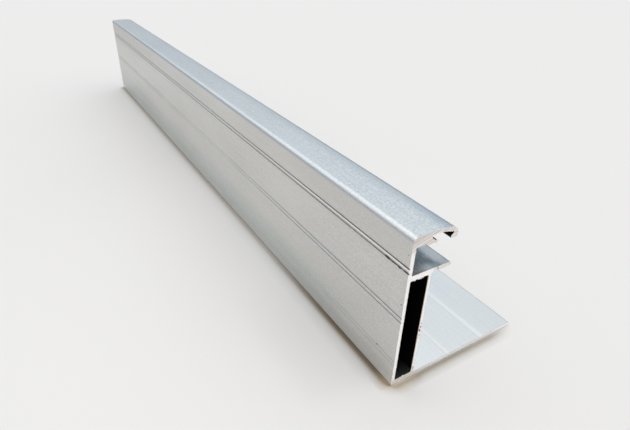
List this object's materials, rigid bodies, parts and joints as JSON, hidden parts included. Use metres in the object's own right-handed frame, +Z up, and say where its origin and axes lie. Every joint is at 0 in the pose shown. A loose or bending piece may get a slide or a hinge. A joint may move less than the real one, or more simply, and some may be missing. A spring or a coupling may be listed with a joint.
{
  "type": "solar panel frame extrusion profile",
  "caption": "Sawn length of anodised aluminium frame profile with a wide flange, a closed corner-key chamber, a panel groove and a hooked top lip.",
  "frame": {"origin": "middle of the flat base's rectangle, on the floor it lies on", "axes": "+X along the extrusion, towards the sawn end that faces the viewer; +Y from the outer wall towards the flange's tip; +Z up, from the base to the lip"},
  "size_m": [0.235, 0.035, 0.035],
  "materials": {
    "anodised_aluminium": "matte clear anodised, with bare sawn ends"
  },
  "bodies": {
    "root": {"frame_profile": "anodised_aluminium"}
  },
  "joints": []
}
